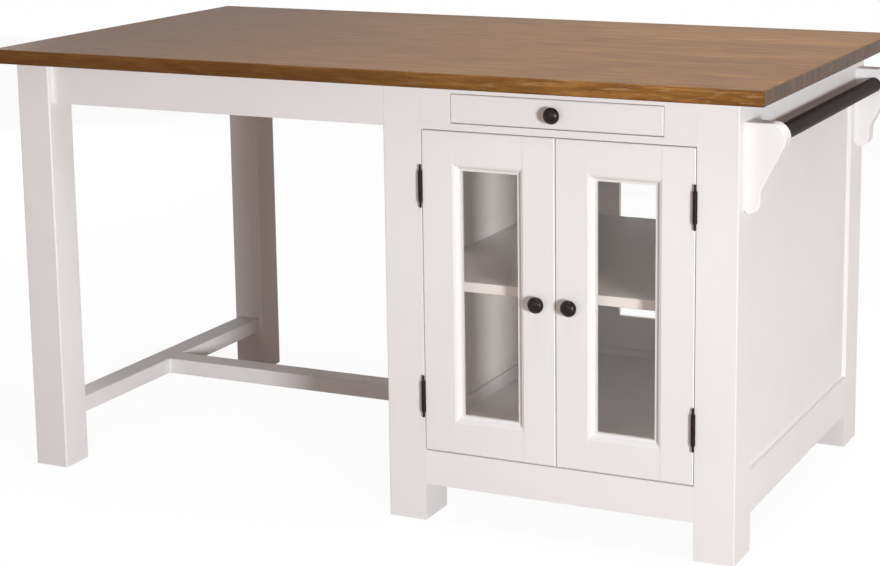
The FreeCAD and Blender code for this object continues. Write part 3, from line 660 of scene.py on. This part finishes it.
def make_screw_pattern():
    """Slotted screw heads on a cloud of points, each along its own 'facing' and turned at random."""
    group, given, result = start_pattern("slotted screws", [
        ("Head Radius", "Float", 0.0032), ("Head Height", "Float", 0.0012), ("Slot Width", "Float", 0.0008),
        ("Seed", "Int", 7), ("Material", "Material", None)])
    crown = math_of(group, "MULTIPLY", given["Head Radius"], 0.78)
    head = put(group, "GeometryNodeMeshCone", {
        "Vertices": 20, "Side Segments": 1, "Fill Segments": 1, "Radius Top": crown,
        "Radius Bottom": given["Head Radius"], "Depth": given["Head Height"]}).outputs["Mesh"]
    size = put(group, "ShaderNodeCombineXYZ", {"X": math_of(group, "MULTIPLY", given["Head Radius"], 3.0),
                                               "Y": given["Slot Width"], "Z": given["Head Height"]}).outputs[0]
    lift = put(group, "ShaderNodeCombineXYZ", {"Z": given["Head Height"]}).outputs[0]
    slot = put(group, "GeometryNodeMeshCube", {"Size": size}).outputs["Mesh"]
    slot = put(group, "GeometryNodeTransform", {"Geometry": slot, "Translation": lift}).outputs[0]
    cut = put(group, "GeometryNodeMeshBoolean", {"Mesh 1": head, "Mesh 2": slot}, operation="DIFFERENCE")
    facing = put(group, "GeometryNodeInputNamedAttribute", {"Name": "facing"}, data_type="FLOAT_VECTOR").outputs[0]
    scale = put(group, "GeometryNodeInputNamedAttribute", {"Name": "size"}, data_type="FLOAT").outputs[0]
    stand = put(group, "FunctionNodeAlignRotationToVector", {"Vector": facing}, axis="Z").outputs[0]
    chance = put(group, "FunctionNodeRandomValue", data_type="FLOAT")
    for socket in chance.inputs:
        if socket.enabled and socket.name == "Max":
            socket.default_value = math.tau
        if socket.enabled and socket.name == "Seed":
            group.links.new(given["Seed"], socket)
    spin = next(socket for socket in chance.outputs if socket.enabled)
    spin = put(group, "FunctionNodeAxisAngleToRotation", {"Axis": (0, 0, 1), "Angle": spin}).outputs[0]
    stand = put(group, "FunctionNodeRotateRotation", {"Rotation": stand, "Rotate By": spin},
                rotation_space="LOCAL").outputs[0]
    heads = put(group, "GeometryNodeInstanceOnPoints", {"Points": given["Geometry"], "Instance": cut.outputs[0],
                                                        "Rotation": stand, "Scale": scale}).outputs[0]
    last_steps(group, heads, given["Material"], result)
    return group


SCREW_PATTERN = make_screw_pattern()


def fit_screws(name, body, sites, material, slot, seed):
    """One piece of screw heads for a body, from (place, facing, size) sites."""
    cloud = bpy.data.meshes.new("screw places")
    cloud.from_pydata([tuple(place) for place, facing, size in sites], [], [])
    facings = cloud.attributes.new("facing", "FLOAT_VECTOR", "POINT")
    facings.data.foreach_set("vector", [part for place, facing, size in sites for part in facing])
    sizes = cloud.attributes.new("size", "FLOAT", "POINT")
    sizes.data.foreach_set("value", [size for place, facing, size in sites])
    mesh = run_pattern(SCREW_PATTERN, cloud, {"Seed": seed, "Material": material})
    piece_of(name, mesh, material, body, slot)


def mirrored(sites, turn):
    return [(turn @ Vector(place), turn.to_3x3() @ Vector(facing), size) for place, facing, size in sites]


def leaf_screw_sites(side, turn):
    """Screws of both leaves of a door, sunk in their holes: side 1 on the door, -1 on the post."""
    sunk = 0.00135
    sites = [((HINGE_X + side * (LEAF_IN + sunk), y, height + z), (-side, 0, 0), 1.0)
             for height in HINGE_HEIGHTS for y, z in LEAF_SCREWS]
    return mirrored(sites, turn)


BACKWARD, DOWN = (0, 1, 0), (0, 0, -1)
strike_middle = (Vector(STRIKE_LOW) + Vector(STRIKE_HIGH)) / 2
door_sites = [((DOOR_KNOB.x, DOOR_HIGH[1], DOOR_KNOB.z), BACKWARD, 1.3)]
door_sites += [((strike_middle.x + step, STRIKE_HIGH[1], strike_middle.z), BACKWARD, 0.75)
               for step in (-0.013, 0.013)]
post_sites = []
for number, (door, turn) in enumerate(DOOR_TURNS.items()):
    post_sites += leaf_screw_sites(-1, turn)
    fit_screws(door + "_leaf_screws", door, leaf_screw_sites(1, turn), DARK_BRONZE, "dark_bronze", 11 + number)
    fit_screws(door + "_inner_screws", door, mirrored(door_sites, turn), ZINC, "zinc_steel", 21 + number)
fit_screws("post_leaf_screws", "root", post_sites, DARK_BRONZE, "dark_bronze", 31)

# inside the drawer box: the knob's screw and, beside it, those that hold the drawer front
DRAWER_END_THICK = 0.012
drawer_inside_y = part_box("drawer_ends")[0][1] + DRAWER_END_THICK
drawer_sites = [((DRAWER_KNOB.x + step, drawer_inside_y, DRAWER_KNOB.z + rise), BACKWARD, size)
                for step, rise, size in ((-0.14, 0.006, 1.1), (0, 0, 1.3), (0.14, 0.006, 1.1))]
fit_screws("drawer_screws", "drawer", drawer_sites, ZINC, "zinc_steel", 41)

CLEAT_WIDE, BATTEN_HALF = 0.018, 0.01
CORNER_BLOCK = (-0.70195, -0.35545, 0.84)      # middle of the front block's slanting face
CATCH_BACK, CATCH_SCREW_Z = -0.397, 0.790      # back face of the front catch
frame_sites = []
for node in ("shelf_cleats", "bottom_cleats"):
    low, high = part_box(node)
    z = (low[2] + high[2]) / 2
    for y in (-0.28, 0.0, 0.28):
        frame_sites += [((low[0] + CLEAT_WIDE, y, z), (1, 0, 0), 1.1),
                        ((high[0] - CLEAT_WIDE, y, z), (-1, 0, 0), 1.1)]
# screws up into the top
low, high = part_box("top_battens")
for x in (-0.5105, -0.3305, -0.1505):
    frame_sites += [((x, y, low[2]), DOWN, 1.2) for y in (low[1] + BATTEN_HALF, high[1] - BATTEN_HALF)]
for y in (-0.17, 0.0, 0.17):
    frame_sites += [((x, y, low[2]), DOWN, 1.2) for x in (low[0] + BATTEN_HALF, high[0] - BATTEN_HALF)]
# bolts through the corner blocks of the table end
for way in (1, -1):
    for step in (-0.02, 0.02):
        x, y, z = CORNER_BLOCK
        frame_sites.append(((x + step, way * (y - step), z), (1, way, 0), 1.9))
# screws of the door catches
for way in (1, -1):
    frame_sites += [((CABINET_MIDDLE + step, way * CATCH_BACK, CATCH_SCREW_Z), (0, way, 0), 0.8)
                    for step in (-0.045, 0.045)]
fit_screws("frame_screws", "root", frame_sites, ZINC, "zinc_steel", 51)


# ---------------------------------------------------------------- floor, light and camera
def make_floor():
    bpy.ops.mesh.primitive_plane_add(size=12, location=(0, 0, 0))
    floor = bpy.context.object
    floor.name = "studio_floor"
    material, tree, shader, _ = start_material("studio_floor")
    shader.inputs["Roughness"].default_value = 0.9
    shader.inputs["Specular IOR Level"].default_value = 0.1
    ray = put(tree, "ShaderNodeLightPath").outputs
    tree.links.new(blend_of(tree, ray["Is Camera Ray"], (0.40, 0.28, 0.22, 1), (0.9, 0.9, 0.9, 1)),
                   shader.inputs["Base Color"])
    seen = math_of(tree, "MULTIPLY", ray["Is Camera Ray"], 0.92)
    seen = math_of(tree, "MAXIMUM", seen,
                   math_of(tree, "MAXIMUM", ray["Is Glossy Ray"], ray["Is Transmission Ray"]))
    white = put(tree, "ShaderNodeEmission", {"Color": (1, 1, 1, 1), "Strength": 1.03})
    mixed = put(tree, "ShaderNodeMixShader", {0: seen, 1: shader.outputs[0], 2: white.outputs[0]})
    tree.links.new(mixed.outputs[0], tree.nodes["Material Output"].inputs["Surface"])
    floor.data.materials.append(material)


def make_world(strength):
    world = bpy.data.worlds.new("studio")
    bpy.context.scene.world = world
    world.use_nodes = True
    tree = world.node_tree
    ray = put(tree, "ShaderNodeLightPath").outputs
    seen = math_of(tree, "MAXIMUM", ray["Is Camera Ray"],
                   math_of(tree, "MAXIMUM", ray["Is Glossy Ray"], ray["Is Transmission Ray"]))
    level = math_of(tree, "ADD", math_of(tree, "MULTIPLY", seen, 1.0 - strength), strength)
    back = tree.nodes["Background"]
    tree.links.new(blend_of(tree, seen, (1.0, 0.82, 0.73, 1), (1, 1, 1, 1)), back.inputs["Color"])
    tree.links.new(level, back.inputs["Strength"])


WIDE = 180                      # degrees of spread of an ordinary softbox
WHITE = (1, 1, 1)


def softbox(name, place, aim, size, power, tint=WHITE, spread=WIDE):
    """Oblong lamp that points at a spot; a narrow one is kept out of reflections."""
    lamp = bpy.data.lights.new(name, "AREA")
    lamp.shape = "RECTANGLE"
    lamp.size, lamp.size_y = size
    lamp.energy = power
    lamp.spread = math.radians(spread)
    lamp.color = tint
    holder = add_object(name, lamp)
    holder.location = place
    holder.visible_camera = False
    holder.visible_glossy = spread == WIDE
    holder.rotation_euler = (Vector(aim) - Vector(place)).to_track_quat("-Z", "Y").to_euler()


PHOTO_WIDE, PHOTO_TALL, SENSOR_WIDE = 880, 566, 36.0


def make_camera(place, yaw, pitch, roll, focal_px, centre_px):
    """Camera from its place in metres, its angles in degrees, and its focal length and centre in photo pixels."""
    yaw, pitch, roll = (math.radians(a) for a in (yaw, pitch, roll))
    back = Vector((math.sin(yaw) * math.cos(pitch), -math.cos(yaw) * math.cos(pitch), math.sin(pitch)))
    right = Vector((math.cos(yaw), math.sin(yaw), 0))
    up = back.cross(right)
    right, up = (math.cos(roll) * right + math.sin(roll) * up, math.cos(roll) * up - math.sin(roll) * right)
    lens = bpy.data.cameras.new("camera")
    lens.sensor_fit = "HORIZONTAL"
    lens.sensor_width = SENSOR_WIDE
    lens.lens = focal_px * SENSOR_WIDE / PHOTO_WIDE
    lens.shift_x = (PHOTO_WIDE / 2 - centre_px[0]) / PHOTO_WIDE
    lens.shift_y = (centre_px[1] - PHOTO_TALL / 2) / PHOTO_WIDE
    lens.clip_end = 100
    camera = add_object("camera", lens)
    camera.matrix_world = Matrix.Translation(place) @ Matrix((right, up, back)).transposed().to_4x4()
    bpy.context.scene.camera = camera


make_floor()
make_world(0.15)
softbox("overhead", (0.7, -0.3, 3.3), (0.1, 0, 0.8), (2.0, 1.6), 78, (0.93, 0.97, 1))
# far to the right, so that the cabinet shades the back leg
softbox("key", (5.75, -5.4, 1.2), (0.1, 0, 0.5), (1.1, 1.1), 500, (0.925, 0.98, 1))
softbox("front", (0.3, -4.4, 1.0), (0.0, 0, 0.5), (2.6, 1.2), 24)
softbox("left_back", (-4.0, 2.6, 0.8), (-0.2, 0, 0.5), (1.4, 0.9), 55)
softbox("right_back", (2.1, 2.8, 0.75), (0.3, 0.1, 0.42), (0.5, 0.5), 0.6, (1, 0.89, 0.82), 40)
softbox("back", (0.95, 3.3, 0.85), (0.3, 0, 0.40), (0.5, 0.6), 2.6, (1, 0.88, 0.80), 30)
make_camera((1.88449, -3.89313, 1.42292), 24.70276, 10.72307, -0.52337, 2050.907, (494.766, 178.0))
bpy.context.scene.view_settings.view_transform = "Standard"
